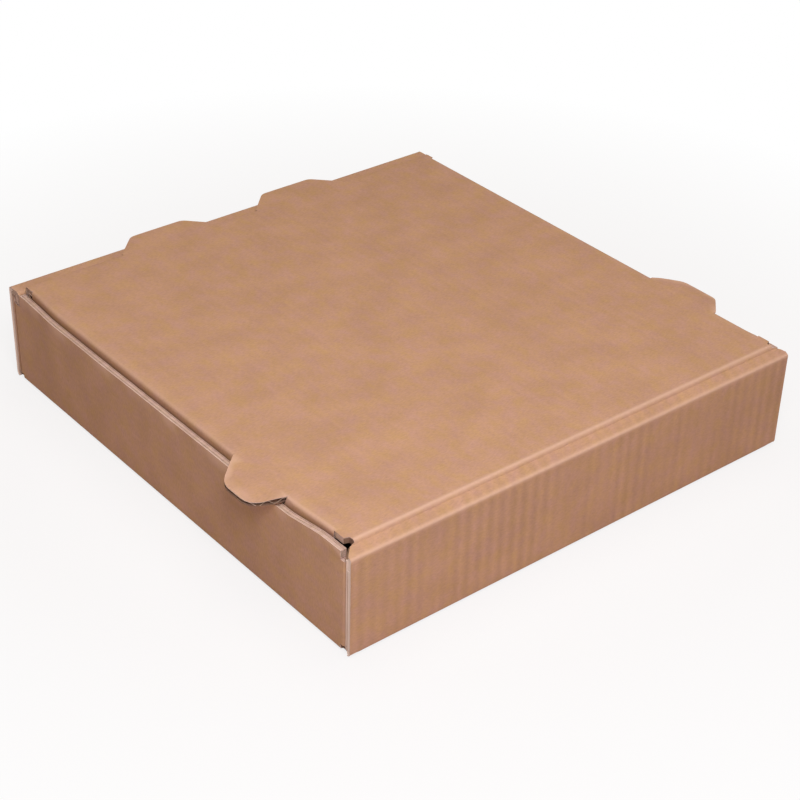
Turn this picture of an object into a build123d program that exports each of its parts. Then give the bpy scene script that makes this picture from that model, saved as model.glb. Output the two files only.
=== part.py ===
from build123d import *
import os
from math import atan2, degrees, hypot

# A shallow corrugated pizza box with a hinged tuck-in lid, closed, standing on its base.
# Origin at the middle of the underside, +Z up, hinge wall at +Y, opening side at -Y.

# Overall size of the closed tray
box_width = 260.0
box_depth = 273.7
wall_height = 51.0

# Corrugated board, its folds and the clearances between folded panels
board = 3.0
fold_radius = 0.4
fold_outer = 1.8
panel_gap = 0.3
overrun = 1.0

# Double-crease hinge: a narrow bevelled strip between the rear wall and the lid
crease_drop = 1.9
strip_run = 5.4
seat_gap = 0.35

# Tray details: corner tabs, notch for the rolled front wall, locking tabs in the base
corner_tab_length = 62.0
strip_clearance = 0.8
roll_notch = 7.6
lock_tab_width = 40.0
lock_tab_place = 62.0

# Lid: clearance to the walls, flaps that tuck inside, and their die-cut outline
lid_gap = 0.6
rest_gap = 0.2
flap_depth = 38.0
flap_round = 9.0
flap_taper = 11.0
side_flap_rear_setback = 9.0
side_flap_front_setback = 12.0
front_flap_lean = 4.0

# Tabs left standing in the lid's plane where the flaps fold down
side_tab_base = 43.0
side_tab_tip = 17.6
side_tab_reach = 12.6
side_tab_place = 72.6
front_tab_base = 57.0
front_tab_tip = 31.0
front_tab_reach = 13.0
front_tab_place = 41.0
tab_round = 6.0

# Sizes that follow from the ones above
half_width = box_width / 2
half_depth = box_depth / 2
side_inside = half_width - board
rear_inside = half_depth - board
roll_depth = 3 * board + 2 * panel_gap
front_inside = -half_depth + roll_depth
corner_tab_face = rear_inside - panel_gap
corner_tab_back = corner_tab_face - board
side_end = corner_tab_back - fold_radius
tab_low = board + panel_gap
notch_floor = wall_height - roll_notch
roll_tab_top = wall_height - board - panel_gap

lid_low = wall_height + rest_gap
lid_mid = lid_low + board / 2
lid_top = lid_low + board
lid_half = side_inside - lid_gap
flap_inside = lid_half - board
lid_front = front_inside + lid_gap
flap_low = lid_low - flap_depth
flap_shoulder = lid_low - fold_outer

crease_height = wall_height - crease_drop
lower_axis = half_depth - board / 2
upper_axis = lower_axis - strip_run
strip_rise = lid_mid - crease_height
strip_pitch = hypot(strip_run, strip_rise)
strip_angle = degrees(atan2(strip_rise, -strip_run))
seat_radius = board / 2 + seat_gap
rear_tab_top = crease_height - board / 2 - strip_clearance

side_tab = (side_tab_base, side_tab_tip, side_tab_reach)
front_tab = (front_tab_base, front_tab_tip, front_tab_reach)
flap_rear_top = upper_axis - side_flap_rear_setback
flap_rear_low = flap_rear_top - flap_taper
flap_front_top = lid_front + side_flap_front_setback
flap_front_low = flap_front_top + flap_taper


def sheet_section(inner, outer):
    """Section of a folded sheet between its inner and its outer face."""
    with BuildLine() as section:
        inside = FilletPolyline(*inner, radius=fold_radius)
        outside = FilletPolyline(*outer, radius=fold_outer)
        Line(inside @ 0, outside @ 0)
        Line(inside @ 1, outside @ 1)
    make_face(section.edges())


def side_section(top):
    """Base and both side walls as one folded section, with the walls cut at a height."""
    sheet_section(
        [(-side_inside, top), (-side_inside, board), (side_inside, board), (side_inside, top)],
        [(-half_width, top), (-half_width, 0), (half_width, 0), (half_width, top)],
    )


def corner_tab_section():
    """Plan of one corner tab, turned in from the end of a side wall."""
    start = side_end - board
    tab_end = side_inside - corner_tab_length
    sheet_section(
        [(side_inside, start), (side_inside, corner_tab_back), (tab_end, corner_tab_back)],
        [(half_width, start), (half_width, corner_tab_face), (tab_end, corner_tab_face)],
    )


def tab_outline(base, tip, reach):
    """A tapered tab with a rounded tip: the fold line lies on X and the tab points along Y."""
    with BuildLine() as outline:
        corners = [(-base / 2, 0), (-tip / 2, reach), (tip / 2, reach), (base / 2, 0)]
        tab = FilletPolyline(*corners, radius=tab_round)
        Line(tab @ 1, tab @ 0)
    make_face(outline.edges())


def tab_root(base):
    """Flat root of a tab, which takes the place of the rounded fold beside it."""
    with Locations((0, -fold_outer / 2)):
        Rectangle(base, fold_outer)


# Tray: base, rear wall, two side walls with corner tabs, and the rolled front wall
with BuildPart() as tray:
    with BuildSketch(Plane.YZ):
        roll_inside = front_inside - board
        sheet_section(
            [
                (roll_inside, tab_low),
                (roll_inside, wall_height - board),
                (-rear_inside, wall_height - board),
                (-rear_inside, board),
                (rear_inside, board),
                (rear_inside, crease_height),
            ],
            [
                (front_inside, tab_low),
                (front_inside, wall_height),
                (-half_depth, wall_height),
                (-half_depth, 0),
                (half_depth, 0),
                (half_depth, crease_height),
            ],
        )
    extrude(amount=half_width, both=True)
    # Concave seat on the rear wall, where the lower crease turns
    with BuildSketch(Plane.YZ):
        with Locations((lower_axis, crease_height)):
            Circle(seat_radius)
    extrude(amount=half_width, both=True, mode=Mode.SUBTRACT)
    # Edges of the base give way to the folds of the side walls
    with BuildSketch(Plane.XY):
        with GridLocations(box_width - fold_outer, 0, 2, 1):
            Rectangle(fold_outer, 2 * (half_depth - fold_outer))
    extrude(amount=board, mode=Mode.SUBTRACT)
    # Inner panel of the rolled wall stands between the side walls below the notch
    with BuildSketch(Plane.XY.offset(board)):
        with GridLocations(half_width + side_inside - panel_gap, 0, 2, 1):
            with Locations((0, front_inside - board / 2)):
                Rectangle(board + panel_gap, board)
    extrude(amount=notch_floor + panel_gap - board, mode=Mode.SUBTRACT)
    # Side walls, cut lower at the front end to pass under the rolled wall
    notch_end = front_inside + panel_gap
    with BuildSketch(Plane.XZ.offset(-side_end)):
        side_section(wall_height)
    extrude(amount=side_end - notch_end)
    with BuildSketch(Plane.XZ.offset(-notch_end)):
        side_section(notch_floor)
    extrude(amount=notch_end + side_end)
    # Rear corner tabs lie against the rear wall, below the hinge strip
    with BuildSketch(Plane.XY.offset(tab_low)):
        corner_tab_section()
        mirror(about=Plane.YZ)
    extrude(amount=rear_tab_top - tab_low)
    # Front corner tabs are held inside the rolled wall and fill its ends
    with BuildSketch(Plane.XY.offset(tab_low)):
        corner_tab_section()
        mirror(about=Plane.YZ)
        mirror(about=Plane.XZ, mode=Mode.REPLACE)
    extrude(amount=notch_floor - tab_low)
    with BuildSketch(Plane.XY.offset(notch_floor)):
        with GridLocations(box_width - corner_tab_length, 0, 2, 1):
            with Locations((0, -corner_tab_face + board / 2)):
                Rectangle(corner_tab_length, board)
    extrude(amount=roll_tab_top - notch_floor)
    # Locking tabs of the rolled wall stand in slots through the base
    lock_y = front_inside - board / 2
    with BuildSketch(Plane.XY):
        with Locations((lock_tab_place, lock_y), (-lock_tab_place, lock_y)):
            Rectangle(lock_tab_width + 2 * panel_gap, board + 2 * panel_gap)
    extrude(amount=board, mode=Mode.SUBTRACT)
    with BuildSketch(Plane.XY.offset(panel_gap)):
        with Locations((lock_tab_place, lock_y), (-lock_tab_place, lock_y)):
            Rectangle(lock_tab_width, board)
    extrude(amount=board)

# Hinge strip: a narrow panel with a round bead along each crease, its ends cut back to the lid
strip_plane = Plane(
    origin=(0, (lower_axis + upper_axis) / 2, (crease_height + lid_mid) / 2),
    x_dir=(1, 0, 0),
    z_dir=(0, -strip_rise, -strip_run),
)
with BuildPart() as hinge_strip:
    with BuildSketch(Plane.YZ):
        with Locations(((lower_axis + upper_axis) / 2, (crease_height + lid_mid) / 2)):
            SlotCenterToCenter(strip_pitch, board, rotation=strip_angle)
    extrude(amount=half_width, both=True)
    with BuildSketch(strip_plane):
        with BuildLine():
            half_pitch = strip_pitch / 2
            Polyline(
                (0, -half_pitch - board),
                (half_width, -half_pitch - board),
                (half_width, -half_pitch),
                (lid_half, half_pitch),
                (lid_half, half_pitch + board),
                (0, half_pitch + board),
            )
            mirror(about=Plane.YZ)
        make_face()
    extrude(amount=board, both=True, mode=Mode.INTERSECT)

# Lid: top panel, two side flaps and a front flap folded down inside the tray, and four tabs
with BuildPart() as lid:
    panel_front = lid_front + fold_outer
    with BuildSketch(Plane.XY.offset(lid_low)):
        with Locations((0, (upper_axis + panel_front) / 2)):
            Rectangle(2 * (lid_half - fold_outer), upper_axis - panel_front)
        for near, far in ((flap_rear_top, upper_axis), (panel_front, flap_front_top)):
            with Locations((0, (near + far) / 2)):
                Rectangle(2 * lid_half, far - near)
    extrude(amount=board)
    # Side flaps, cut to a tapered outline with rounded corners
    with BuildSketch(Plane.XZ.offset(-flap_rear_top)):
        sheet_section(
            [
                (-flap_inside, flap_low),
                (-flap_inside, lid_low),
                (flap_inside, lid_low),
                (flap_inside, flap_low),
            ],
            [(-lid_half, flap_low), (-lid_half, lid_top), (lid_half, lid_top), (lid_half, flap_low)],
        )
    extrude(amount=flap_rear_top - flap_front_top)
    with BuildSketch(Plane.YZ):
        with BuildLine():
            edge = FilletPolyline(
                (flap_front_top, flap_shoulder),
                (flap_front_low, flap_low),
                (flap_rear_low, flap_low),
                (flap_rear_top, flap_shoulder),
                radius=flap_round,
            )
            below = flap_low - overrun
            Polyline(edge @ 1, (flap_rear_top, below), (flap_front_top, below), edge @ 0)
        make_face()
    extrude(amount=lid_half, both=True, mode=Mode.SUBTRACT)
    # Front flap leans in at its free edge, so that it swings clear of the front wall
    with BuildSketch(Plane.YZ):
        lean_share = front_flap_lean / flap_depth
        flap_top = lid_front + board * (hypot(1, lean_share) + lean_share)
        flap_foot = lid_front + lean_share * (flap_depth + board)
        sheet_section(
            [(flap_front_top, lid_low), (flap_top, lid_low), (flap_top + front_flap_lean, flap_low)],
            [(flap_front_top, lid_top), (lid_front, lid_top), (flap_foot, flap_low)],
        )
    extrude(amount=lid_half, both=True)
    with BuildSketch(Plane.XZ.offset(-lid_front - board - front_flap_lean - overrun)):
        with BuildLine():
            edge = FilletPolyline(
                (lid_half, flap_shoulder),
                (lid_half - flap_taper, flap_low),
                (0, flap_low),
                radius=flap_round,
            )
            Polyline(edge @ 1, (0, below), (lid_half, below), edge @ 0)
        make_face()
        mirror(about=Plane.YZ)
    extrude(amount=board + front_flap_lean + 2 * overrun, mode=Mode.SUBTRACT)
    # Each tab stays in the plane of the lid and leaves a hole of its own outline in the flap
    for side in (1, -1):
        side_fold = Plane((side * lid_half, side_tab_place, lid_low), x_dir=(0, -side, 0), z_dir=(0, 0, 1))
        front_fold = Plane((side * front_tab_place, lid_front, lid_low), x_dir=(-1, 0, 0), z_dir=(0, 0, 1))
        for fold, sizes in ((side_fold, side_tab), (front_fold, front_tab)):
            with BuildSketch(Plane(fold.origin, x_dir=fold.x_dir, z_dir=fold.y_dir)):
                tab_outline(*sizes)
            extrude(amount=-board - front_flap_lean - overrun, mode=Mode.SUBTRACT)
            with BuildSketch(fold):
                tab_outline(*sizes)
                tab_root(sizes[0])
            extrude(amount=board)
    # Concave seat along the rear edge, where the upper crease turns
    with BuildSketch(Plane.YZ):
        with Locations((upper_axis, lid_mid)):
            Circle(seat_radius)
    extrude(amount=half_width, both=True, mode=Mode.SUBTRACT)

tray.part.label = "tray"
hinge_strip.part.label = "hinge_strip"
lid.part.label = "lid"

os.makedirs("parts", exist_ok=True)
export_step(tray.part, "parts/tray.step")
export_step(hinge_strip.part, "parts/hinge_strip.step")
export_step(lid.part, "parts/lid.step")
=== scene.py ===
# %% [markdown]
# A kraft pizza box, dressed for rendering
# The CAD model gives three rigid bodies: the tray, a narrow hinge strip and the lid. A real box is one
# sheet of corrugated board, cut flat and folded. This lesson draws that flat sheet, folds it in code to the
# CAD's sizes, and then adds what makes board look like board: pressed creases, open flutes in the cut
# edges, and kraft paper.

# %% Load the frame
import math
import bmesh
import bpy
import numpy as np
from mathutils import Matrix, Vector, geometry, noise


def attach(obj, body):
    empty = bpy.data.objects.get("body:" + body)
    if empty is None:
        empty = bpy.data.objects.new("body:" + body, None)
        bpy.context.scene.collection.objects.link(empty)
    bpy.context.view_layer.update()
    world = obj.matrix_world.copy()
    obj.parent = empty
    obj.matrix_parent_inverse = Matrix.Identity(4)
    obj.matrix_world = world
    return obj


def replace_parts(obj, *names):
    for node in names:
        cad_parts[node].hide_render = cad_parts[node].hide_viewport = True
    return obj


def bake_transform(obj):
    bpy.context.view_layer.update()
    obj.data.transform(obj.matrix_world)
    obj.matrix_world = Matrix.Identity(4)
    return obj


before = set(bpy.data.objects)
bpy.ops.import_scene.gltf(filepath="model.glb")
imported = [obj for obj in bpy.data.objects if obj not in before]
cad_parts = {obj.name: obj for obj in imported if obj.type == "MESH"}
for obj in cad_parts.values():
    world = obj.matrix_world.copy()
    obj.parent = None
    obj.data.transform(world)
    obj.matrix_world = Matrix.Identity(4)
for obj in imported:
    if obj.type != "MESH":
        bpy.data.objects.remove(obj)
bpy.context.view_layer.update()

# %% [markdown]
# The sizes of the box
# All lengths below are millimetres, as a box maker would write them, and are turned into metres only when a
# mesh is made. They repeat the CAD's driving sizes, so that every panel lies on its solid. A few differ on
# purpose: loose board bends, so on the near side the wall bulges a little, its rim sits lower, and the tab
# there has a shape of its own.

# %% Sizes in millimetres
MM = 0.001
HALF_WIDTH, HALF_DEPTH, WALL = 130.0, 136.85, 51.0
BOARD, FOLD, GAP = 3.0, 1.8, 0.3
LID_HALF, LID_FRONT, LID_LOW = 126.4, -126.65, 51.2
LID_TOP = LID_LOW + BOARD
FLAP_DEPTH, FLAP_ROUND, FLAP_TAPER = 38.0, 9.0, 11.0
LOWER_AXIS = (135.35, 49.1)
UPPER_AXIS = (129.95, 52.7)
ROLL_INSIDE = -HALF_DEPTH + 3 * BOARD + 2 * GAP
NOTCH_FLOOR = WALL - 7.6
RIM, RIM_RISE = 50.0, (98.0, 116.0)
BULGE, REAR_FADE, FRONT_FADE = 1.7, 30.0, 36.0
NEAR_TAB = {"base": 38.0, "tip": 20.0, "reach": 14.0, "round": 10.0, "slant": 3.0}
FAR_TAB = {"base": 43.0, "tip": 21.0, "reach": 11.8, "round": 6.0, "slant": 0.0}
FRONT_TAB = {"base": 57.0, "tip": 31.0, "reach": 13.0, "round": 6.0, "slant": 0.0}
SIDE_TAB_PLACE, FRONT_TAB_PLACE, FRONT_TAB_SHIFT = 72.0, 41.0, 2.0
TAB_DROOP, TAB_CRUSH = math.radians(11.0), 0.9
WALL_JOINT, LID_JOINT = 44.0, 122.0
CELL = 5.0
QUARTER = math.pi / 2
STRIP = (UPPER_AXIS[0] - LOWER_AXIS[0], UPPER_AXIS[1] - LOWER_AXIS[1])
PITCH = math.hypot(*STRIP)
LOWER_BEND = math.atan2(-STRIP[0], STRIP[1])
UPPER_BEND = QUARTER - LOWER_BEND
print("hinge strip %.2f mm wide, bends %.1f and %.1f degrees" % (
    PITCH, math.degrees(LOWER_BEND), math.degrees(UPPER_BEND)))

# %% [markdown]
# The camera
# The photograph was taken by hand from above one corner, a little tilted, with a fairly long lens. The
# camera below stands at the angle and distance that make the box's edges fall on the same pixels of a
# square frame.

# %% Place the camera
AZIMUTH, ELEVATION, ROLL = (math.radians(a) for a in (140.133, 32.885, -1.596))
LOOK, DISTANCE, LENS = Vector((17.60, 29.76, 26.77)), 875.62, 83.565


def placed(name, data):
    """A new object with this data, in the scene."""
    made = bpy.data.objects.new(name, data)
    bpy.context.collection.objects.link(made)
    return made


level = math.cos(ELEVATION)
back = Vector((math.sin(AZIMUTH) * level, -math.cos(AZIMUTH) * level, math.sin(ELEVATION)))
right = Vector((math.cos(AZIMUTH), math.sin(AZIMUTH), 0.0))
up = back.cross(right)
right, up = (math.cos(ROLL) * right - math.sin(ROLL) * up, math.sin(ROLL) * right + math.cos(ROLL) * up)
lens = bpy.data.cameras.new("camera")
lens.lens = LENS
lens.clip_start, lens.clip_end = 0.05, 50.0
camera = placed("camera", lens)
turn = Matrix((right, up, back)).transposed().to_4x4()
camera.matrix_world = Matrix.Translation((LOOK + back * DISTANCE) * MM) @ turn
bpy.context.scene.camera = camera
print("camera at", [round(v, 3) for v in camera.matrix_world.translation])

# %% [markdown]
# Flat panels
# A panel could be cut from a cube, but board needs many small faces to bow and crease. So each panel starts
# as a flat outline that is filled with a lattice of points and triangulated. Extra rows of points run along
# the folds.

# %% Fill an outline with triangles


def inside(points, outline):
    """Which points lie inside a closed outline, by counting crossings."""
    x, y = points[:, 0], points[:, 1]
    hit = np.zeros(len(points), bool)
    for (x0, y0), (x1, y1) in zip(outline, outline[1:] + outline[:1]):
        if y0 != y1:
            hit ^= ((y0 > y) != (y1 > y)) & (x < (x1 - x0) * (y - y0) / (y1 - y0) + x0)
    return hit


def distance_to(points, segments):
    """Distance from each point to the nearest of the segments."""
    best = np.full(len(points), 1e9)
    for a, b in segments:
        a, d = np.asarray(a, float), np.asarray(b, float) - np.asarray(a, float)
        t = np.clip(((points - a) @ d) / max(d @ d, 1e-12), 0, 1)
        best = np.minimum(best, np.linalg.norm(points - a - t[:, None] * d, axis=1))
    return best


def marks(start, end, stops):
    """Lattice marks between two places on one axis, with the stops that lie between them."""
    low, high = sorted((start, end))
    lattice = [k * CELL for k in range(math.ceil(low / CELL), math.floor(high / CELL) + 1)]
    places = [p for p in stops if low + 0.05 < p < high - 0.05]
    for p in lattice:
        if low + 0.3 * CELL < p < high - 0.3 * CELL and all(abs(p - q) > 0.3 * CELL for q in places):
            places.append(p)
    return sorted(places, reverse=start > end)


def walk(outline, rows):
    """The outline with extra points along its longer edges."""
    path = []
    for (s0, t0), (s1, t1) in zip(outline, outline[1:] + outline[:1]):
        path.append((s0, t0))
        if abs(s0 - s1) < 1e-6:
            path += [(s0, t) for t in marks(t0, t1, ())]
        elif abs(t0 - t1) < 1e-6:
            path += [(s, t0) for s in marks(s0, s1, rows)]
        else:
            n = int(math.hypot(s1 - s0, t1 - t0) / CELL)
            path += [(s0 + (s1 - s0) * k / (n + 1), t0 + (t1 - t0) * k / (n + 1)) for k in range(1, n + 1)]
    return path


def triangles(outline, rows=(), holes=()):
    """Points and triangles that fill an outline, with rows of points at given distances from its fold."""
    loops = [walk(loop, rows) for loop in (outline, *holes)]
    rims = [(a, b) for loop in loops for a, b in zip(loop, loop[1:] + loop[:1])]
    corners = np.array(loops[0])
    low, high = corners.min(0), corners.max(0)
    lattice = [[k * CELL for k in range(math.ceil(a / CELL), math.floor(b / CELL) + 1)]
               for a, b in zip(low, high)]
    free = [s for s in lattice[0] if all(abs(s - r) > 0.35 * CELL for r in rows)]

    def kept(points, margin):
        points = np.array(points).reshape(-1, 2)
        good = inside(points, outline) & (distance_to(points, rims) > margin)
        for hole in holes:
            good &= ~inside(points, hole)
        return [tuple(p) for p in points[good]]

    coords = [p for loop in loops for p in loop]
    edges, start = [], 0
    for loop in loops:
        edges += [(start + k, start + (k + 1) % len(loop)) for k in range(len(loop))]
        start += len(loop)
    coords += kept([(s, t) for s in free for t in lattice[1]], 0.4 * CELL)
    for s in rows:
        row = kept([(s, t) for t in lattice[1]], 0.2)
        joined = [k for k in range(len(row) - 1) if row[k + 1][1] - row[k][1] < 1.1 * CELL]
        edges += [(len(coords) + k, len(coords) + k + 1) for k in joined]
        coords += row
    points, _, faces, *_ = geometry.delaunay_2d_cdt([Vector(p) for p in coords], edges, [], 0, 1e-5)
    points = np.array([tuple(p) for p in points])
    centres = np.array([points[list(f)].mean(0) for f in faces])
    good = inside(centres, outline)
    for hole in holes:
        good &= ~inside(centres, hole)
    return points, [tuple(f) for f, ok in zip(faces, good) if ok]


def rounded(corners, radius, steps=5):
    """An open line of corners in which each inner corner is rounded by an arc."""
    line = [corners[0]]
    for before, here, after in zip(corners, corners[1:], corners[2:]):
        p, q, r = Vector(before), Vector(here), Vector(after)
        u, v = (p - q).normalized(), (r - q).normalized()
        half = math.acos(max(-1.0, min(1.0, u.dot(v)))) / 2
        centre = q + (u + v).normalized() * (radius / math.sin(half))
        a, b = q + u * (radius / math.tan(half)) - centre, q + v * (radius / math.tan(half)) - centre
        begin, sweep = math.atan2(a.y, a.x), math.atan2(a.x * b.y - a.y * b.x, a.dot(b))
        for k in range(steps + 1):
            angle = begin + sweep * k / steps
            line.append((centre.x + radius * math.cos(angle), centre.y + radius * math.sin(angle)))
    return line + [corners[-1]]


print("lattice of %.0f mm" % CELL)

# %% [markdown]
# Folding
# When board folds, its outer paper runs round a small radius while the inner paper is pressed into a sharp
# corner. A fold line is therefore a path with two sides: the outer path with arcs, and an inner path one
# board's thickness away whose corners are mitred. Walking along the path by a distance gives a point on
# each side.

# %% A folded path


def folded(start, legs, bends, radius=FOLD):
    """A path that sets out along +a and turns left at each bend, with the outer paper on its right."""
    heading, point, parts, place = 0.0, Vector(start), [], 0.0
    for k, leg in enumerate(legs):
        turns = (bends[k - 1] if k else 0.0, bends[k] if k < len(bends) else 0.0)
        tight = [(BOARD - radius) * math.tan(b / 2) for b in turns]
        parts.append(("leg", place, leg, point.copy(), heading, tight))
        point = point + leg * Vector((math.cos(heading), math.sin(heading)))
        place += leg
        if k < len(bends):
            left = Vector((-math.sin(heading), math.cos(heading)))
            centre = point + radius * left
            parts.append(("arc", place, radius * bends[k], centre, heading, bends[k]))
            heading += bends[k]
            point = centre - radius * Vector((-math.sin(heading), math.cos(heading)))
            place += radius * bends[k]

    def at(s):
        part = next((p for p in parts if s <= p[1] + p[2] + 1e-9), parts[-1])
        kind, begin, length, base, way, extra = part
        if kind == "leg":
            ahead, left = Vector((math.cos(way), math.sin(way))), Vector((-math.sin(way), math.cos(way)))
            outer = base + (s - begin) * ahead
            held = min(max(s - begin, extra[0]), length - extra[1])
            return outer, base + held * ahead + BOARD * left
        angle = way + (s - begin) / radius
        outer = base + radius * Vector((math.sin(angle), -math.cos(angle)))
        middle = way + extra / 2
        corner = base + (BOARD - radius) / math.cos(extra / 2) * Vector((-math.sin(middle), math.cos(middle)))
        return outer, corner

    at.length = place
    at.arcs = [p[1] + p[2] * k / 4 for p in parts if p[0] == "arc" for k in range(5)]
    at.creases = [p[1] + p[2] / 2 for p in parts if p[0] == "arc"]
    return at


def rows_of(path):
    """Rows of points for a path: its arcs, and a few lines beside each of them."""
    beside = [c + d for c in path.creases for d in (-5.0, -3.2, -2.2, 2.2, 3.2, 5.0)]
    return sorted({round(s, 4) for s in path.arcs + beside if 0.05 < s < path.length - 0.05})


print("a square fold uses %.2f mm of outer paper" % (FOLD * QUARTER))

# %% [markdown]
# From panels to a sheet of board
# Panels that share a fold line are welded there, and every outer point keeps its partner on the inner
# paper. Loose board also bends: the near wall, held only at its ends, gives way in the middle. A lattice
# could bend it, but one soft push, largest at the rim, is enough here.

# %% Weld the panels and bend the near wall


def new_sheet():
    return {"outer": [], "inner": [], "flat": [], "faces": []}


def add_panel(sheet, outline, place, rows=(), holes=()):
    """Triangulate an outline and put it in space: place gives outer point, inner point and flat place."""
    points, faces = triangles(outline, rows, holes)
    first = len(sheet["outer"])
    for s, t in points:
        outer, inner, flat = place(float(s), float(t))
        sheet["outer"].append(outer)
        sheet["inner"].append(inner)
        sheet["flat"].append(flat)
    sheet["faces"] += [tuple(first + k for k in f) for f in faces]


def weld(sheet):
    """Merge the points that two panels share, and turn all faces outward."""
    outer, inner, flat = (np.array(sheet[k], float) for k in ("outer", "inner", "flat"))
    seen, new = {}, []
    for p in np.round(outer, 3) + 0.0:
        new.append(seen.setdefault(tuple(p), len(seen)))
    keep = np.zeros(len(seen), int)
    keep[new[::-1]] = np.arange(len(new))[::-1]
    outer, inner, flat = outer[keep], inner[keep], flat[keep]
    faces = []
    for f in sheet["faces"]:
        a, b, c = (new[k] for k in f)
        if len({a, b, c}) == 3:
            normal = np.cross(outer[b] - outer[a], outer[c] - outer[a])
            outward = normal @ (outer[[a, b, c]] - inner[[a, b, c]]).sum(0) > 0
            faces.append((a, b, c) if outward else (a, c, b))
    return outer, inner, flat, faces


def ease(value):
    """A soft step from 0 to 1."""
    value = min(1.0, max(0.0, value))
    return value * value * (3 - 2 * value)


def leaned(p):
    """Where a point stands in metres, with the near wall and its flap pushed out a little at the top."""
    share = ease(p[0] / HALF_WIDTH) * ease(p[2] / RIM)
    share = share * ease((LID_JOINT - p[1]) / REAR_FADE) * ease((p[1] - LID_FRONT) / FRONT_FADE)
    return (p + np.array((BULGE * share, 0.0, 0.0))) * MM


print("near wall pushed out by up to %.1f mm" % BULGE)

# %% [markdown]
# Thickness, wear, painted highlights and rims
# A solidify modifier would give an even thickness. Board needs more: panels that bow a little, paper made
# pale along its folds, partly as wear and partly as a painted highlight, and rims where the two papers stand
# proud of the fluted middle. So the mesh is built here, with a shallow groove along each rim in which the
# flutes can be laid later.

# %% Make a piece of board
LIP, GAPE_DEPTH = 0.36, 1.5


def raw_end(p):
    """Whether a cut edge is one of the upright ends of the front wall or the hinge wall."""
    return abs(p[0]) > HALF_WIDTH - 0.1 and abs(p[1]) > HALF_DEPTH - BOARD - 0.1


def board(name, sheet, folds, bow, groove, plain, open_cut, scuffed):
    """Make the mesh of one piece of board, and the lines along which its flutes are cut open.

    Three tests pick edges by place: plain ones join another piece and need no groove, the flutes of an
    open_cut gape, and the paper along scuffed ones is rubbed pale in places."""
    outer, inner, flat, faces = weld(sheet)
    across = outer - inner
    across /= np.linalg.norm(across, axis=1)[:, None]
    away = distance_to(flat, [(a, b) for a, b, _ in folds])
    apart = Vector((7, 3, 1))
    waves = [noise.noise(Vector(p) / 55.0) + 0.4 * noise.noise(Vector(p) / 21.0 + apart) for p in outer]
    push = (bow * np.array(waves) * np.clip(away / 25.0, 0, 1) ** 1.5)[:, None] * across
    outer, inner = outer + push, inner + push
    # Near each fold the paper gets paler with the fold's weight: wear from folding and a painted highlight.
    wear_and_highlight = np.zeros(len(flat))
    for weight in {w for _, _, w in folds}:
        near = distance_to(flat, [(a, b) for a, b, w in folds if w == weight])
        wear_and_highlight = np.maximum(wear_and_highlight, weight * np.exp(-(near / 1.2) ** 2))

    owner = {}
    for f in faces:
        for a, b in zip(f, f[1:] + f[:1]):
            owner.setdefault((min(a, b), max(a, b)), []).append((a, b))
    rims = [e[0] for e in owner.values() if len(e) == 1]
    normals = np.zeros_like(outer)
    for f in faces:
        n = np.cross(outer[f[1]] - outer[f[0]], outer[f[2]] - outer[f[0]])
        for k in f:
            normals[k] += n
    out_of, dull, gaping = {}, set(), set()
    for a, b in rims:
        side = np.cross(outer[b] - outer[a], normals[a] + normals[b])
        side /= np.linalg.norm(side)
        for k in (a, b):
            out_of[k] = out_of.get(k, 0) + side
        middle = (outer[a] + outer[b]) / 2
        if plain(middle):
            dull |= {a, b}
        if open_cut(middle):
            gaping |= {a, b}
        if scuffed(middle):
            for k in (a, b):
                patch = 0.45 + 1.5 * noise.noise(Vector((*flat[k], 0.0)) / 13.0)
                wear_and_highlight[k] = max(wear_and_highlight[k], min(1.0, max(0.0, patch)))

    build = bmesh.new()
    sheet_uv = build.loops.layers.uv.new("sheet")
    # Per point paleness along folds and scuffs: wear, and on folds a painted highlight as well.
    worn_and_lit = build.verts.layers.float.new("wear_and_highlight")
    top = [build.verts.new(leaned(p)) for p in outer]
    low = [build.verts.new(leaned(p)) for p in inner]
    source = {}
    for k, (p, q) in enumerate(zip(top, low)):
        p[worn_and_lit] = wear_and_highlight[k]
        q[worn_and_lit] = 0.0
        source[p] = source[q] = k
    lips, cut = {}, {}
    for k, side in out_of.items():
        side = side / max(np.linalg.norm(side), 1e-9)
        through = inner[k] - outer[k]
        share = LIP / np.linalg.norm(through)
        depth = 0.0 if k in dull else GAPE_DEPTH if k in gaping else groove
        ring = [outer[k] + share * through, outer[k] + share * through - depth * side,
                inner[k] - share * through - depth * side, inner[k] - share * through]
        lips[k] = [build.verts.new(leaned(p)) for p in ring]
        for v in lips[k]:
            source[v] = k
            v[worn_and_lit] = 1.0 if raw_end(outer[k]) else 0.0
        cut[k] = leaned((ring[0] + ring[3]) / 2 - 0.22 * side)
    skins = [(f, 0) for f in ([top[k] for k in f] for f in faces)]
    skins += [(f, 1) for f in ([low[k] for k in f[::-1]] for f in faces)]
    for a, b in rims:
        here, there = [top[a], *lips[a], low[a]], [top[b], *lips[b], low[b]]
        # Gaping rims take flute shade, painted shade, in their groove and on their lower lip under the tab
        # edge.
        slots = (2, 3, 3, 3, 3) if {a, b} <= gaping else (2, 2, 2, 2, 2)
        skins += [((here[k], here[k + 1], there[k + 1], there[k]), slots[k]) for k in range(5)]
    for f, slot in skins:
        face = build.faces.new(f)
        face.material_index = slot
        face.smooth = True
        for loop in face.loops:
            loop[sheet_uv].uv = flat[source[loop.vert]] * MM
    bmesh.ops.remove_doubles(build, verts=build.verts, dist=2e-6)
    bmesh.ops.dissolve_degenerate(build, edges=build.edges, dist=1e-7)
    mesh = bpy.data.meshes.new(name)
    build.to_mesh(mesh)
    build.free()
    mesh.set_sharp_from_angle(angle=math.radians(38))
    piece = placed(name, mesh)
    lines = [(a, b) for a, b in rims if not {a, b} <= dull]
    print(name, len(mesh.polygons), "faces,", len(lines), "cut edges")
    return piece, {"points": cut, "lines": lines, "across": across, "flat": flat}


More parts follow.
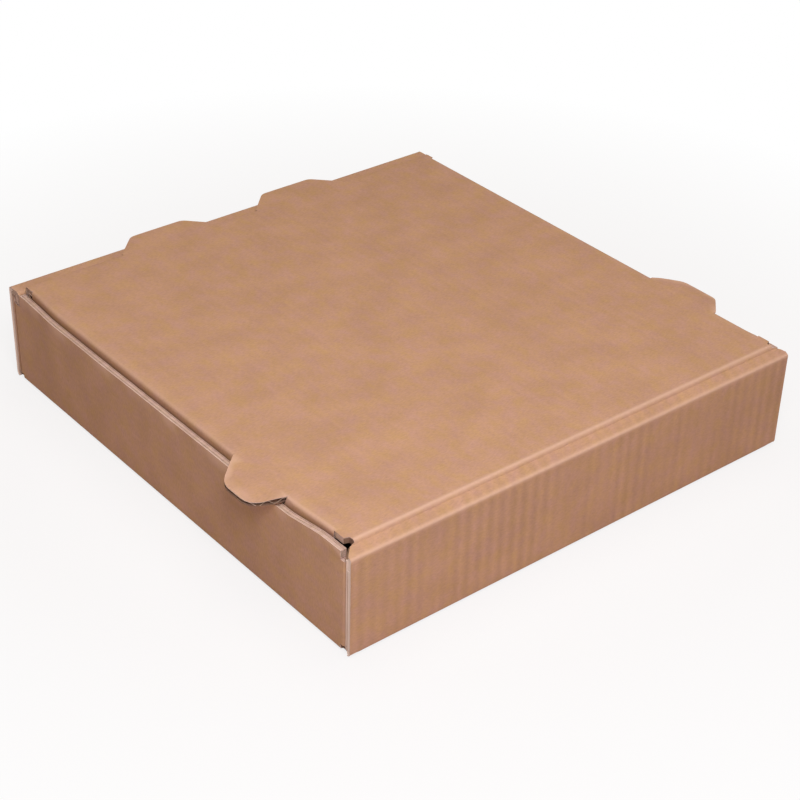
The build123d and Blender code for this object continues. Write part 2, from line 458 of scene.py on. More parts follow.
print("rims with lips of %.2f mm, gaping ones %.1f mm deep" % (LIP, GAPE_DEPTH))

# %% [markdown]
# The lid
# The lid is a square panel. A flap hangs down inside the tray on three of its sides, and each flap leaves
# behind tabs: small tongues cut free of the flap that stay in the plane of the panel and rest on the walls.
# The tab and the hole in the flap are the same cut, so both take the same outline.

# %% Draw the tabs and the folds


def tab_line(tab, centre, place):
    """The cut of one tab from end to end of its base: distance from the fold, and place along it."""
    tip = centre + tab["slant"]
    corners = [(FOLD, centre + tab["base"] / 2), (FOLD + tab["reach"], tip + tab["tip"] / 2),
               (FOLD + tab["reach"], tip - tab["tip"] / 2), (FOLD, centre - tab["base"] / 2)]
    line = [(0.0, centre + tab["base"] / 2), *rounded(corners, tab["round"]), (0.0, centre - tab["base"] / 2)]
    return [(place + s, t) for s, t in line]


LEAN = math.atan2(4.0, FLAP_DEPTH)
FLAP_REAR_GAP, FLAP_FRONT_GAP, LID_ON_SHEET = 9.0, 6.5, 324.0
side_rear, side_front = UPPER_AXIS[0] - FLAP_REAR_GAP, LID_FRONT + FLAP_FRONT_GAP
fold_x = LID_HALF - FOLD
fold_y = -LID_FRONT - FOLD * math.tan((QUARTER + LEAN) / 2)
flap_length = FLAP_DEPTH + BOARD - FOLD
side_path = folded((fold_x, 0.0), (0.0, flap_length), (QUARTER,))
front_path = folded((fold_y, 0.0), (0.0, flap_length), (QUARTER + LEAN,))
side_tabs = (SIDE_TAB_PLACE,)
front_tabs = (FRONT_TAB_PLACE + FRONT_TAB_SHIFT, -FRONT_TAB_PLACE + FRONT_TAB_SHIFT)

print("tabs at", side_tabs, "on the sides and", front_tabs, "on the front")

# %% [markdown]
# The lid's top panel
# Tabs could be objects of their own, but drawn in one outline with the panel they have no seam. The side
# tabs stick out and get handled, so they droop and are crushed a little.

# %% Fill the top panel


def droop(x):
    """How far a side tab has bent down beyond the wall that it rests on."""
    beyond = max(0.0, abs(x) - HALF_WIDTH + 1.5)
    return math.tan(TAB_DROOP) * beyond ** 2 / (beyond + 2.5)


def lid_flat(x, y):
    return (x, LID_ON_SHEET - y)


def near_tab(t, tabs, tab):
    return any(abs(t - c) < tab["base"] / 2 - 0.01 for c in tabs)


def lid_top_place(x, y):
    inner_x, inner_y = x, y
    side_tab = NEAR_TAB if x > 0 else FAR_TAB
    if side_front < y < side_rear and not near_tab(y, side_tabs, side_tab):
        inner_x = max(-LID_HALF + BOARD, min(LID_HALF - BOARD, x))
    if not near_tab(x, front_tabs, FRONT_TAB):
        inner_y = max(LID_FRONT + BOARD, y)
    crush = TAB_CRUSH * ease((abs(x) - HALF_WIDTH) / 6.0)
    return (x, y, LID_TOP - droop(x)), (inner_x, inner_y, LID_LOW - droop(x) + crush), lid_flat(x, y)


def side_edge(tab):
    """The lid's outline along one side, from the hinge to the front."""
    edge = [(LID_HALF, LID_JOINT), (LID_HALF, side_rear), (fold_x, side_rear)]
    for c in side_tabs:
        edge += tab_line(tab, c, fold_x)
    return edge + [(fold_x, side_front), (LID_HALF, side_front)]


front_edge = [(LID_HALF, -fold_y)]
for c in front_tabs:
    front_edge += [(t, -s) for s, t in tab_line(FRONT_TAB, c, fold_y)]
front_edge += [(-LID_HALF, -fold_y)]
top_outline = side_edge(NEAR_TAB) + front_edge + [(-x, y) for x, y in side_edge(FAR_TAB)[::-1]]

lid_sheet = new_sheet()
add_panel(lid_sheet, top_outline, lid_top_place)

print("top panel", len(lid_sheet["faces"]), "triangles")

# %% [markdown]
# The lid's flaps
# Three flaps hang from the panel, tapered and rounded so that they slip into the tray. The front one leans
# inward for the same reason. Each outline takes the line of its tabs, so the holes need no boolean.

# %% Hang the flaps


def flap_outline(path, ends, tabs, tab):
    """A flap below its fold: square shoulders, tapered rounded corners, and the holes that its tabs leave."""
    shoulder = path.arcs[-1] + BOARD
    low = path.length
    (top_a, low_a), (top_b, low_b) = ends
    lower = rounded([(shoulder, top_b), (low, low_b), (low, low_a), (shoulder, top_a)], FLAP_ROUND)
    line = [(0.0, top_b), *lower, (0.0, top_a)]
    for c in tabs:
        line += tab_line(tab, c, 0.0)
    return line


side_ends = ((side_rear, side_rear - FLAP_TAPER), (side_front, side_front + FLAP_TAPER))
front_ends = ((LID_HALF, LID_HALF - FLAP_TAPER), (-LID_HALF, -LID_HALF + FLAP_TAPER))
for sign, tab in ((1.0, NEAR_TAB), (-1.0, FAR_TAB)):
    def side_flap_place(s, t, sign=sign):
        (a, b), (c, d) = side_path(s)
        return (sign * a, t, LID_TOP - b), (sign * c, t, LID_TOP - d), lid_flat(sign * (fold_x + s), t)
    side_outline = flap_outline(side_path, side_ends, side_tabs, tab)
    add_panel(lid_sheet, side_outline, side_flap_place, rows_of(side_path))


def front_flap_place(s, t):
    (a, b), (c, d) = front_path(s)
    return (t, -a, LID_TOP - b), (t, -c, LID_TOP - d), lid_flat(t, -fold_y - s)


front_outline = flap_outline(front_path, front_ends, front_tabs, FRONT_TAB)
add_panel(lid_sheet, front_outline, front_flap_place, rows_of(front_path))

print("lid", len(lid_sheet["faces"]), "triangles")

# %% [markdown]
# Closing the lid
# Handling rubs paper pale along a fold, and a painted highlight is laid over that line too. That could be
# painted by hand. Here each fold line has a weight, largest on the side folds near the hinge, and the
# paleness, wear and painted highlight together, fades with the distance from it. Of the rims, only those of
# the tabs gape; their hollows and lower lips take painted shade.

# %% Close the lid


def between(low, high, tabs, tab):
    """The stretches of a fold line that lie between its tabs."""
    stops = [low] + [v for c in sorted(tabs) for v in (c - tab["base"] / 2, c + tab["base"] / 2)] + [high]
    return list(zip(stops[::2], stops[1::2]))


lid_folds = []
for sign, tab in ((1.0, NEAR_TAB), (-1.0, FAR_TAB)):
    x = sign * (fold_x + side_path.creases[0])
    for a, b in between(side_front, side_rear, side_tabs, tab):
        lid_folds += [(lid_flat(x, a), lid_flat(x, b), 0.9 if a > 0 else 0.5)]
y = -fold_y - front_path.creases[0]
for a, b in between(-LID_HALF, LID_HALF, front_tabs, FRONT_TAB):
    lid_folds += [(lid_flat(a, y), lid_flat(b, y), 0.12)]
lid_folds += [(lid_flat(-LID_HALF, LID_JOINT), lid_flat(LID_HALF, LID_JOINT), 0.0)]


def on_side_tab(p):
    return p[2] > LID_LOW and abs(p[0]) > LID_HALF + 0.2


def on_tab(p):
    return on_side_tab(p) or (p[2] > LID_LOW and p[1] < LID_FRONT - 0.2)


lid, lid_cut = board("lid_board", lid_sheet, lid_folds, bow=0.35, groove=0.4,
                     plain=lambda p: p[1] > LID_JOINT - 0.01, open_cut=on_tab, scuffed=on_side_tab)

# %% [markdown]
# The tray
# The base carries four walls. The side walls end in long corner tabs that fold inward: the rear pair lies
# behind the hinge wall, and the front wall rolls over the front pair, comes down inside, and locks two
# tongues into slots in the base. All of it is one sheet, so the same folding path serves every wall.

# %% Cut the base
CORNER_TAB_END, LOCK_PLACE, LOCK_WIDTH = 65.0, 62.0, 40.0
base_x, base_y = HALF_WIDTH - FOLD, HALF_DEPTH - FOLD
tab_face = HALF_DEPTH - BOARD - GAP
side_end = tab_face - BOARD - 0.4
tab_fold = tab_face - FOLD
tab_low, rear_tab_top = BOARD + GAP, 46.8
notch_end = ROLL_INSIDE + GAP
arc = FOLD * QUARTER
wall_path = folded((base_x, 0.0), (0.0, WALL - FOLD), (QUARTER,))
rear_path = folded((base_y, 0.0), (0.0, WALL_JOINT - FOLD), (QUARTER,))
strip_over = ROLL_INSIDE + HALF_DEPTH - 2 * FOLD
roll_path = folded((base_y, 0.0), (0.0, WALL - 2 * FOLD, strip_over, WALL - FOLD - GAP), (QUARTER,) * 3)
corner_path = folded((tab_fold, 0.0), (0.0, HALF_WIDTH - FOLD - CORNER_TAB_END), (QUARTER,))
lock_y = ROLL_INSIDE - BOARD / 2


def up_wall(z):
    """Distance along a wall's path at a height."""
    return z - FOLD + arc


def base_place(x, y):
    inner_x = max(-HALF_WIDTH + BOARD, min(HALF_WIDTH - BOARD, x))
    inner_y = max(-HALF_DEPTH + BOARD, min(HALF_DEPTH - BOARD, y))
    return (x, y, 0.0), (inner_x, inner_y, BOARD), (x, y)


tray_sheet = new_sheet()
slots = []
for c in (LOCK_PLACE, -LOCK_PLACE):
    x0, x1 = c - LOCK_WIDTH / 2 - GAP, c + LOCK_WIDTH / 2 + GAP
    y0, y1 = lock_y - BOARD / 2 - GAP, lock_y + BOARD / 2 + GAP
    slots.append([(x0, y0), (x1, y0), (x1, y1), (x0, y1)])
base_outline = [(base_x, -base_y), (base_x, -side_end), (base_x, side_end), (base_x, base_y)]
base_outline += [(-x, y) for x, y in base_outline[::-1]]
add_panel(tray_sheet, base_outline, base_place, holes=slots)

print("base", len(tray_sheet["faces"]), "triangles,", len(slots), "slots")

# %% [markdown]
# Side walls and corner tabs
# Each side wall has a notch at the front, where the rolled wall passes over it. At each end a corner tab
# folds inward, and the front one goes on upward into the roll. A mirror modifier would repeat the fibres on
# both sides, so a sign does it.

# %% Raise the side walls
wall_outline = [(0.0, -side_end), (up_wall(tab_low), -side_end), (up_wall(tab_low), -tab_fold),
                (up_wall(NOTCH_FLOOR), -tab_fold), (up_wall(NOTCH_FLOOR), notch_end),
                (up_wall(RIM), notch_end),
                (up_wall(RIM), RIM_RISE[0]), (up_wall(WALL), RIM_RISE[1]), (up_wall(WALL), side_end),
                (up_wall(rear_tab_top), side_end), (up_wall(rear_tab_top), tab_fold),
                (up_wall(tab_low), tab_fold), (up_wall(tab_low), side_end), (0.0, side_end)]
far = corner_path.length
for sign in (1.0, -1.0):
    def wall_place(s, t, sign=sign):
        (a, b), (c, d) = wall_path(s)
        held = max(-tab_face + BOARD, min(tab_face - BOARD, t))
        return (sign * a, t, b), (sign * c, held, d), (sign * (base_x + s), t)
    add_panel(tray_sheet, wall_outline, wall_place, rows_of(wall_path))
    for end, top in ((1.0, rear_tab_top), (-1.0, NOTCH_FLOOR)):
        def corner_place(s, z, sign=sign, end=end):
            (a, b), (c, d) = corner_path(s)
            flat = (sign * (base_x + up_wall(z)), end * (tab_fold + s))
            return (sign * (HALF_WIDTH - b), end * a, z), (sign * (HALF_WIDTH - d), end * c, z), flat
        cut = 5.0
        outline = [(0.0, tab_low), (far - cut, tab_low), (far, tab_low + cut)]
        outline += [(far, top - cut), (far - cut, top)] if end > 0 else [(far, top), (arc, top)]
        outline += [(0.0, top)]
        add_panel(tray_sheet, outline, corner_place, rows_of(corner_path))

    def roll_fill_place(b, z, sign=sign):
        flat = (sign * (base_x + up_wall(z)), -(tab_fold + arc + b - FOLD))
        return (sign * (HALF_WIDTH - b), -tab_face, z), (sign * (HALF_WIDTH - b), -tab_face + BOARD, z), flat
    deep = FOLD + far - arc
    fill_top = NOTCH_FLOOR + 4.3
    fill = [(GAP, NOTCH_FLOOR), (FOLD, NOTCH_FLOOR), (deep, NOTCH_FLOOR)]
    fill += [(deep - 4.0, fill_top), (GAP, fill_top)]
    add_panel(tray_sheet, fill, roll_fill_place)

print("with side walls", len(tray_sheet["faces"]), "triangles")

# %% [markdown]
# Hinge wall and rolled front
# The hinge wall stops below the lower crease. The front wall goes up, over and down again, and ends in two
# tongues. Boxes could stand for it, but as one path with three folds it stays a single sheet.

# %% Raise the hinge wall and roll the front


def rear_place(s, t):
    (a, b), (c, d) = rear_path(s)
    return (t, a, b), (t, c, d), (t, base_y + s)


def roll_place(s, t):
    (a, b), (c, d) = roll_path(s)
    return (t, -a, b), (t, -c, d), (t, -base_y - s)


joint = rear_path.length
rear_outline = [(0.0, -HALF_WIDTH), (joint, -HALF_WIDTH), (joint, HALF_WIDTH), (0.0, HALF_WIDTH)]
rear_outline += [(0.0, base_x), (0.0, -base_x)]
add_panel(tray_sheet, rear_outline, rear_place, rows_of(rear_path))
inner_top = roll_path.length - (WALL - FOLD - GAP)
narrow = inner_top + (WALL - FOLD - NOTCH_FLOOR - GAP)
foot = roll_path.length - BOARD
roll_half = HALF_WIDTH - BOARD - GAP
tongue = [(foot, LOCK_PLACE + LOCK_WIDTH / 2), (roll_path.length, LOCK_PLACE + LOCK_WIDTH / 2),
          (roll_path.length, LOCK_PLACE - LOCK_WIDTH / 2), (foot, LOCK_PLACE - LOCK_WIDTH / 2)]
half_roll = [(0.0, base_x), (0.0, HALF_WIDTH), (narrow, HALF_WIDTH)]
half_roll += [(narrow, roll_half), (foot, roll_half), *tongue]
roll_outline = half_roll + [(s, -t) for s, t in half_roll[::-1]]
add_panel(tray_sheet, roll_outline, roll_place, rows_of(roll_path))

print("tray", len(tray_sheet["faces"]), "triangles")

# %% [markdown]
# Closing the tray
# The tray's folds are made once and stay shut, so their weights, which set both wear and painted highlight,
# are small. The rims of the side walls are rubbed when the lid goes in, so they are scuffed in patches.

# %% Close the tray
tray_folds = []
for sign in (1.0, -1.0):
    x = sign * (base_x + arc / 2)
    tray_folds += [((x, -side_end), (x, side_end), 0.15)]
    for end, top in ((1.0, rear_tab_top), (-1.0, NOTCH_FLOOR)):
        y = end * (tab_fold + arc / 2)
        tray_folds += [((sign * (base_x + up_wall(tab_low)), y), (sign * (base_x + up_wall(top)), y), 0.3)]
cross_folds = [(base_y + arc / 2, 0.15), (base_y + joint, 0.0)]
cross_folds += [(-base_y - c, 0.2) for c in roll_path.creases]
for v, weight in cross_folds:
    tray_folds += [((-HALF_WIDTH, v), (HALF_WIDTH, v), weight)]


def at_hinge_wall(p):
    return p[2] > WALL_JOINT - 0.01 and p[1] > HALF_DEPTH - BOARD - 0.1


tray, tray_cut = board("tray_board", tray_sheet, tray_folds, bow=0.22, groove=0.3,
                       plain=at_hinge_wall, open_cut=lambda p: False,
                       scuffed=lambda p: p[2] > RIM - 0.2 and abs(p[0]) > HALF_WIDTH - BOARD)

# %% [markdown]
# The two creases of the hinge
# Wall, strip and lid are the same sheet, pressed thin along two lines. In the CAD the strip is a rigid body
# with a bead on each edge. Here two bands of board run over the creases: each starts flat on one body,
# turns at the crease, and ends at the middle of the strip, where the two bands meet.

# %% Fold the two hinge bands
SCORE, REACH = 1.5, 2.0
half_strip = PITCH / 2
middle_half = (HALF_WIDTH + LID_HALF) / 2


def pressed(d, ridge, furrow):
    """The relief left by the creasing rule: a ridge on the crease and a shallow furrow on the strip."""
    return ridge * math.exp(-(d / 0.9) ** 2) - furrow * math.exp(-((d - 2.1) / 0.75) ** 2)


def hinge_band(name, start, axis_at, bend, wide, put, flat, ridge, furrow, relief, gape):
    """A band that runs flat up to a crease, turns there, and goes on to the middle of the strip.

    Unless relief is zero, a nick at each end keeps the crease from tearing."""
    corner = BOARD / 2 * math.tan(bend / 2)
    tangent = SCORE * math.tan(bend / 2)
    legs = (axis_at + corner - tangent - start, corner + half_strip - tangent)
    path = folded((start, 0.0), legs, (bend,), SCORE)
    turned = path.creases[0]
    outline = [(0.0, wide), (turned + REACH, wide), (path.length, middle_half)]
    if relief:
        outline[1:1] = [(turned - 3.0, wide), (turned - 2.2, wide - relief), (turned + 1.2, wide - relief)]
    outline += [(s, -t) for s, t in outline[::-1]]

    def place(s, t):
        outer, inner = path(s)
        outer = outer + pressed(s - turned, ridge, furrow) * (outer - inner).normalized()
        return put(t, *outer), put(t, *inner), flat(s, t)

    sheet = new_sheet()
    beside = [turned + d for d in (-2.6, -1.8, -1.2, 1.1, 1.5, 2.0, 2.5, 3.0)]
    rows = sorted({round(s, 4) for s in path.arcs + beside})
    add_panel(sheet, outline, place, [s for s in rows if 0.1 < s < path.length - 0.1])
    # The crease gets the full pale line: paper stretched by the fold, and a painted highlight on it.
    crease = [(flat(turned, -wide), flat(turned, wide), 1.0)]
    piece, _ = board(name, sheet, crease, bow=0.0, groove=0.3, plain=lambda p: abs(p[0]) < LID_HALF - 0.5,
                     open_cut=gape, scuffed=lambda p: False)
    return piece


# Where a band turns onto the strip its end rims gape, and their hollow and lower lip take painted shade.
lower_band = hinge_band(
    "lower_crease_band", WALL_JOINT, LOWER_AXIS[1], LOWER_BEND, HALF_WIDTH,
    lambda t, a, b: (t, HALF_DEPTH - b, a), lambda s, t: (t, base_y + joint + s),
    ridge=0.12, furrow=0.0, relief=0.0, gape=lambda p: p[1] < LOWER_AXIS[0] - 0.5)
upper_band = hinge_band(
    "upper_crease_band", LID_JOINT, UPPER_AXIS[0], UPPER_BEND, LID_HALF,
    lambda t, a, b: (t, a, LID_TOP - b), lambda s, t: lid_flat(t, LID_JOINT + s),
    ridge=0.22, furrow=0.5, relief=2.4, gape=lambda p: p[1] > UPPER_AXIS[0] - 3.5)

# %% [markdown]
# Flutes in the cut edges
# Between its two papers corrugated board has a waved sheet. Wherever a cut crosses the flutes that wave
# shows, and where a cut runs along them it shows as a plain line. A Geometry Nodes tree follows the middle
# of every cut, moves it from paper to paper by the wave's height at that place in the sheet, and sweeps a
# thin strand along it.

# %% Build the flute tree
FLUTE_PITCH, FLUTE_HEIGHT, STRAND = 6.3, 1.9, 0.16


def node(tree, kind, feeds=(), **settings):
    """A new node with its settings, and its inputs fed by values or by the sockets of other nodes."""
    made = tree.nodes.new(kind)
    for key, value in settings.items():
        if key in made.bl_rna.properties:
            setattr(made, key, value)
    for key, value in dict(feeds).items():
        if isinstance(value, bpy.types.NodeSocket):
            tree.links.new(value, made.inputs[key])
        else:
            made.inputs[key].default_value = value
    return made


def math_of(tree, operation, a, b=0.0):
    return node(tree, "ShaderNodeMath", {0: a, 1: b}, operation=operation).outputs[0]


def flute_tree(medium):
    tree = bpy.data.node_groups.new("open flutes", "GeometryNodeTree")
    tree.interface.new_socket("Cuts", in_out="INPUT", socket_type="NodeSocketGeometry")
    for name in ("Pitch", "Height", "Strand", "Step"):
        tree.interface.new_socket(name, in_out="INPUT", socket_type="NodeSocketFloat")
    tree.interface.new_socket("Strands", in_out="OUTPUT", socket_type="NodeSocketGeometry")
    given, made = node(tree, "NodeGroupInput").outputs, node(tree, "NodeGroupOutput")

    def named(name, kind):
        attribute = node(tree, "GeometryNodeInputNamedAttribute", {"Name": name}, data_type=kind)
        return attribute.outputs["Attribute"]

    curves = node(tree, "GeometryNodeMeshToCurve", {"Mesh": given["Cuts"]})
    feeds = {"Curve": curves.outputs["Curve"], "Length": given["Step"]}
    even = node(tree, "GeometryNodeResampleCurve", feeds, mode="LENGTH")
    turns = math_of(tree, "DIVIDE", named("sheet_place", "FLOAT"), given["Pitch"])
    wave = math_of(tree, "SINE", math_of(tree, "MULTIPLY", turns, 2 * math.pi))
    lift = math_of(tree, "MULTIPLY", wave, math_of(tree, "MULTIPLY", given["Height"], 0.5))
    feeds = {0: named("across_board", "FLOAT_VECTOR"), "Scale": lift}
    shift = node(tree, "ShaderNodeVectorMath", feeds, operation="SCALE")
    feeds = {"Geometry": even.outputs["Curve"], "Offset": shift.outputs["Vector"]}
    moved = node(tree, "GeometryNodeSetPosition", feeds)
    feeds = {"Resolution": 4, "Radius": given["Strand"]}
    ring = node(tree, "GeometryNodeCurvePrimitiveCircle", feeds, mode="RADIUS")
    swept = node(tree, "GeometryNodeCurveToMesh", {
        "Curve": moved.outputs["Geometry"], "Profile Curve": ring.outputs["Curve"], "Fill Caps": True})
    real = node(tree, "GeometryNodeRealizeInstances", {"Geometry": swept.outputs["Mesh"]})
    painted = node(tree, "GeometryNodeSetMaterial", {
        "Geometry": real.outputs["Geometry"], "Material": medium})
    tree.links.new(painted.outputs["Geometry"], made.inputs["Strands"])
    return tree


def open_flutes(name, cut, tree):
    """Lay waved strands in the groove of every cut edge of one sheet."""
    used = sorted({k for line in cut["lines"] for k in line})
    number = {k: n for n, k in enumerate(used)}
    lines = bpy.data.meshes.new(name + "_cuts")
    edges = [(number[a], number[b]) for a, b in cut["lines"]]
    lines.from_pydata([tuple(cut["points"][k]) for k in used], edges, [])
    place = lines.attributes.new("sheet_place", "FLOAT", "POINT")
    place.data.foreach_set("value", [float(cut["flat"][k][0]) * MM for k in used])
    across = lines.attributes.new("across_board", "FLOAT_VECTOR", "POINT")
    across.data.foreach_set("vector", np.array([cut["across"][k] for k in used]).ravel())
    guide = placed(name + "_cuts", lines)
    flutes = guide.modifiers.new("open flutes", "NODES")
    flutes.node_group = tree
    sizes = {"Pitch": FLUTE_PITCH, "Height": FLUTE_HEIGHT, "Strand": STRAND, "Step": 0.5}
    for item in tree.interface.items_tree:
        if item.item_type == "SOCKET" and item.in_out == "INPUT" and item.name in sizes:
            flutes[item.identifier] = sizes[item.name] * MM
    shaped = guide.evaluated_get(bpy.context.evaluated_depsgraph_get())
    mesh = bpy.data.meshes.new_from_object(shaped)
    mesh.name = name
    guide.modifiers.clear()
    bpy.data.objects.remove(guide)
    piece = placed(name, mesh)
    print(name, len(mesh.polygons), "faces")
    return piece


print("flutes every %.1f mm" % FLUTE_PITCH)

# %% [markdown]
# Kraft paper
# Kraft liner is unbleached pulp: a warm brown with slow cloudy patches, fine fibres lying mostly one way,
# and a few dark flecks. The flutes behind it press faint stripes into it, given as a bump and as painted
# shade in the colour, stronger on the hinge wall. All the papers of the box share these effects, so they live
# in one node group that gives a colour and a height; each material keeps its own shader.

# %% Build the paper effects


def kraft_group():
    tree = bpy.data.node_groups.new("kraft fibres", "ShaderNodeTree")
    tree.interface.new_socket("Sheet", in_out="INPUT", socket_type="NodeSocketVector")
    for name in ("Light", "Dark"):
        tree.interface.new_socket(name, in_out="INPUT", socket_type="NodeSocketColor")
    tree.interface.new_socket("Flecks", in_out="INPUT", socket_type="NodeSocketFloat").default_value = 0.35
    tree.interface.new_socket("Stripes", in_out="INPUT", socket_type="NodeSocketFloat").default_value = 0.3
    tree.interface.new_socket("Colour", in_out="OUTPUT", socket_type="NodeSocketColor")
    tree.interface.new_socket("Height", in_out="OUTPUT", socket_type="NodeSocketFloat")
    given, made = node(tree, "NodeGroupInput"), node(tree, "NodeGroupOutput")

    def stretched(x, y, detail, rough):
        feeds = {0: given.outputs["Sheet"], 1: (x, y, 1.0)}
        size = node(tree, "ShaderNodeVectorMath", feeds, operation="MULTIPLY")
        feeds = {"Vector": size.outputs["Vector"], "Scale": 1.0, "Detail": detail, "Roughness": rough}
        return node(tree, "ShaderNodeTexNoise", feeds, noise_dimensions="2D").outputs[0]

    def span(value, low, high, to_low, to_high):
        feeds = {"Value": value, "From Min": low, "From Max": high, "To Min": to_low, "To Max": to_high}
        return node(tree, "ShaderNodeMapRange", feeds).outputs["Result"]

    clouds = stretched(38.0, 52.0, 3.0, 0.55)
    warmth = stretched(135.0, 110.0, 4.0, 0.65)
    bands = stretched(60.0, 9.0, 1.0, 0.5)
    fibres = stretched(520.0, 1250.0, 4.0, 0.6)
    short = stretched(420.0, 2100.0, 2.0, 0.5)
    tone = math_of(tree, "ADD", span(clouds, 0.3, 0.7, 0.1, 0.65), span(fibres, 0.25, 0.75, -0.32, 0.54))
    feeds = {"Factor": tone, 6: given.outputs["Dark"], 7: given.outputs["Light"]}
    paper = node(tree, "ShaderNodeMix", feeds, data_type="RGBA")
    parts = node(tree, "ShaderNodeSeparateXYZ", {0: given.outputs["Sheet"]})
    # Flute stripes: a bump, and painted shade in the colour, stronger where the sheet forms the hinge wall.
    turns = math_of(tree, "MULTIPLY", parts.outputs["X"], 2 * math.pi / (FLUTE_PITCH * MM))
    wave = math_of(tree, "MULTIPLY", math_of(tree, "SINE", turns), span(bands, 0.35, 0.65, 0.2, 1.0))
    wall_start = span(parts.outputs["Y"], 0.130, 0.140, 0.0, 1.5)
    wall_end = span(parts.outputs["Y"], 0.184, 0.198, 1.0, 0.0)
    hinge_wall_shade = math_of(tree, "MULTIPLY", wall_start, wall_end)
    wave = math_of(tree, "MULTIPLY", wave, math_of(tree, "ADD", hinge_wall_shade, 0.45))
    stripes = math_of(tree, "MULTIPLY", wave, given.outputs["Stripes"])
    shade = math_of(tree, "MULTIPLY", span(short, 0.66, 0.76, 0.0, 1.0), given.outputs["Flecks"])
    shade = math_of(tree, "MULTIPLY", shade, 0.35)
    tinted = node(tree, "ShaderNodeHueSaturation", {
        "Color": paper.outputs[2],
        "Value": math_of(tree, "SUBTRACT", span(stripes, -1.0, 1.0, 0.9, 1.1), shade),
        "Hue": span(warmth, 0.3, 0.7, 0.491, 0.510),
        "Saturation": span(warmth, 0.3, 0.7, 0.93, 1.07)})
    tree.links.new(tinted.outputs["Color"], made.inputs["Colour"])
    rise = math_of(tree, "MULTIPLY", fibres, 0.25)
    rise = math_of(tree, "ADD", rise, math_of(tree, "MULTIPLY", stripes, 1.4))
    tree.links.new(rise, made.inputs["Height"])
    return tree


kraft_fibres = kraft_group()
print(kraft_fibres.name, len(kraft_fibres.nodes), "nodes")

# %% [markdown]
# The papers of the box
# The inner paper differs a little from the outer one, the cut edge is paler with a finer grain, and the
# flute shade is painted shade for the hollow behind gaping flutes and for the lower lip of their rims. Each
# paper has a paler colour for its folds, where wear and a painted highlight lie. Each could be built by hand.
# One function makes them all, so a paper is only a list of colours and strengths.

# %% Mix the papers


def paper_material(name, light, dark, worn_and_lit, flecks, stripes, roughness, bump, grain=1.0, place="sheet"):
    """A paper: fibres from the shared group, paler along folds with wear and a painted highlight, and a matt
    shader.
    """
    material = bpy.data.materials.new(name)
    material.use_nodes = True
    tree = material.node_tree
    tree.nodes.clear()
    if place == "sheet":
        where = node(tree, "ShaderNodeUVMap", uv_map="sheet").outputs["UV"]
    else:
        where = node(tree, "ShaderNodeTexCoord").outputs["Object"]
    size = node(tree, "ShaderNodeVectorMath", {0: where, "Scale": grain}, operation="SCALE")
    fibres = node(tree, "ShaderNodeGroup", {
        "Sheet": size.outputs["Vector"], "Light": (*light, 1.0), "Dark": (*dark, 1.0),
        "Flecks": flecks, "Stripes": stripes}, node_tree=kraft_fibres)
    # The fold paleness, wear and painted highlight, mixes the paper toward its paler colour.
    wear_and_highlight = node(tree, "ShaderNodeAttribute", attribute_name="wear_and_highlight")
    share = math_of(tree, "MULTIPLY", wear_and_highlight.outputs["Fac"], 0.75)
    feeds = {"Factor": share, 6: fibres.outputs["Colour"], 7: (*worn_and_lit, 1.0)}
    creased = node(tree, "ShaderNodeMix", feeds, data_type="RGBA")
    relief = node(tree, "ShaderNodeBump", {
        "Strength": bump, "Distance": 0.0003, "Height": fibres.outputs["Height"]})
    paper = node(tree, "ShaderNodeBsdfPrincipled", {
        "Base Color": creased.outputs[2], "Normal": relief.outputs["Normal"],
        "Roughness": roughness, "Specular IOR Level": 0.25})
    node(tree, "ShaderNodeOutputMaterial", {"Surface": paper.outputs["BSDF"]})
    return material


outer_kraft = paper_material(
    "outer kraft", (0.562, 0.309, 0.178), (0.468, 0.255, 0.146), (0.70, 0.43, 0.295),
    0.35, 0.3, 0.82, 0.3)
inner_kraft = paper_material(
    "inner kraft", (0.53, 0.30, 0.18), (0.44, 0.245, 0.14), (0.60, 0.38, 0.25),
    0.4, 0.3, 0.86, 0.3)
cut_edge = paper_material(
    "cut edge", (0.66, 0.455, 0.355), (0.46, 0.295, 0.215), (0.87, 0.69, 0.565),
    0.3, 0.0, 0.92, 0.25, 3.5)
# Painted shade, for the hollows of gaping rims and the lower lips under the tab edges.
flute_shade = paper_material(
    "flute shade", (0.30, 0.17, 0.105), (0.20, 0.11, 0.066), (0.30, 0.17, 0.105),
    0.3, 0.0, 0.95, 0.2)
flute_paper = paper_material(
    "flute paper", (0.58, 0.40, 0.30), (0.40, 0.26, 0.18), (0.58, 0.40, 0.30),
    0.3, 0.0, 0.9, 0.2, 3.5, "object")
for piece in (lid, tray, lower_band, upper_band):
    for paper in (outer_kraft, inner_kraft, cut_edge, flute_shade):
        piece.data.materials.append(paper)
print("papers", [paper.name for paper in tray.data.materials])

# %% [markdown]
# Laying the flutes
# The tree needs a finished paper to paint the strands with, so the flutes are laid now, in the rims of the
# lid and of the tray.

# %% Lay the flutes
strands = flute_tree(flute_paper)
lid_flutes = open_flutes("lid_flutes", lid_cut, strands)
tray_flutes = open_flutes("tray_flutes", tray_cut, strands)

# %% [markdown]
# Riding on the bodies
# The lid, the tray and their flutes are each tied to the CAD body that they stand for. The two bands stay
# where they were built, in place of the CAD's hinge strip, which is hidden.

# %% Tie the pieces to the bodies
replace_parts(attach(lid, "lid"), "lid")
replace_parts(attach(tray, "tray"), "tray")
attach(lid_flutes, "lid")
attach(tray_flutes, "tray")
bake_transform(lower_band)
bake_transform(upper_band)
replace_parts(lower_band, "hinge_strip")
for piece in (lid, tray, lower_band, upper_band, lid_flutes, tray_flutes):
    print(piece.name, "is tied")

# %% [markdown]
# The floor
# The photograph shows the box in soft light on white. The floor is pale, keeps a soft shadow close to the
# box, and fades to white further out. Only the camera sees that glow, so it adds no light.

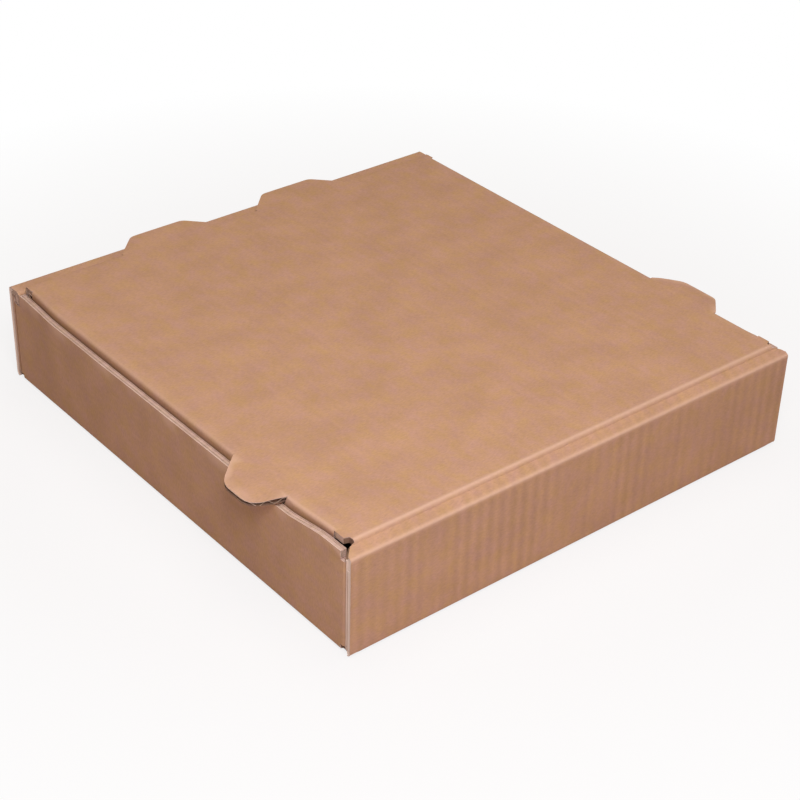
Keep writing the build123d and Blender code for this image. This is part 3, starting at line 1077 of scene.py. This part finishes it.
# %% Lay the floor
floor_mesh = bpy.data.meshes.new("floor")
FLOOR_HALF, FLOOR_LEVEL = 6.0, -0.0004
corners = [(a * FLOOR_HALF, b * FLOOR_HALF, FLOOR_LEVEL) for a, b in ((-1, -1), (1, -1), (1, 1), (-1, 1))]
floor_mesh.from_pydata(corners, [], [(0, 1, 2, 3)])
floor = placed("floor", floor_mesh)
pale = bpy.data.materials.new("pale floor")
pale.use_nodes = True
tree = pale.node_tree
tree.nodes.clear()
where, path = node(tree, "ShaderNodeTexCoord"), node(tree, "ShaderNodeLightPath")
far_off = node(tree, "ShaderNodeVectorMath", {0: where.outputs["Object"]}, operation="LENGTH")
fade = node(tree, "ShaderNodeMapRange", {
    "Value": far_off.outputs["Value"], "From Min": 0.2, "From Max": 0.40, "To Min": 0.80, "To Max": 1.0})
seen = math_of(tree, "MULTIPLY", path.outputs["Is Camera Ray"], fade.outputs["Result"])
matt = node(tree, "ShaderNodeBsdfDiffuse", {"Color": (0.74, 0.66, 0.62, 1.0)})
glow = node(tree, "ShaderNodeEmission", {"Color": (1.0, 1.0, 1.0, 1.0)})
mix = node(tree, "ShaderNodeMixShader", {"Fac": seen, 1: matt.outputs["BSDF"], 2: glow.outputs["Emission"]})
node(tree, "ShaderNodeOutputMaterial", {"Surface": mix.outputs["Shader"]})
floor_mesh.materials.append(pale)
print("floor %.0f m wide" % (2 * FLOOR_HALF))

# %% [markdown]
# World and lamps
# The camera sees a white world, while the box is lit by a dim warm one. A wide lamp hangs overhead, and a
# smaller one lights the hinge wall from its own side. A picture of a studio could light the box too, but
# two lamps are easier to tune.

# %% Light the box
world = bpy.data.worlds.new("studio")
world.use_nodes = True
bpy.context.scene.world = world
tree = world.node_tree
sky = tree.nodes["Background"]
path = node(tree, "ShaderNodeLightPath")
feeds = {"Factor": path.outputs["Is Camera Ray"], 6: (0.17, 0.145, 0.132, 1.0), 7: (1.0, 1.0, 1.0, 1.0)}
shown = node(tree, "ShaderNodeMix", feeds, data_type="RGBA")
tree.links.new(shown.outputs[2], sky.inputs["Color"])


def lamp(name, place, size, power, colour):
    light = bpy.data.lights.new(name, "AREA")
    light.shape, light.size, light.energy, light.color = "DISK", size, power, colour
    made = placed(name, light)
    made.location = place
    made.rotation_euler = (-Vector(place)).to_track_quat("-Z", "Y").to_euler()
    return made


lamp("top light", (-0.05, 0.05, 1.5), 1.5, 11.8, (1.0, 0.99, 0.97))
lamp("key light", (0.33, 0.49, 0.64), 0.3, 4.0, (0.97, 1.0, 1.12))
bpy.context.scene.view_settings.view_transform = "Standard"
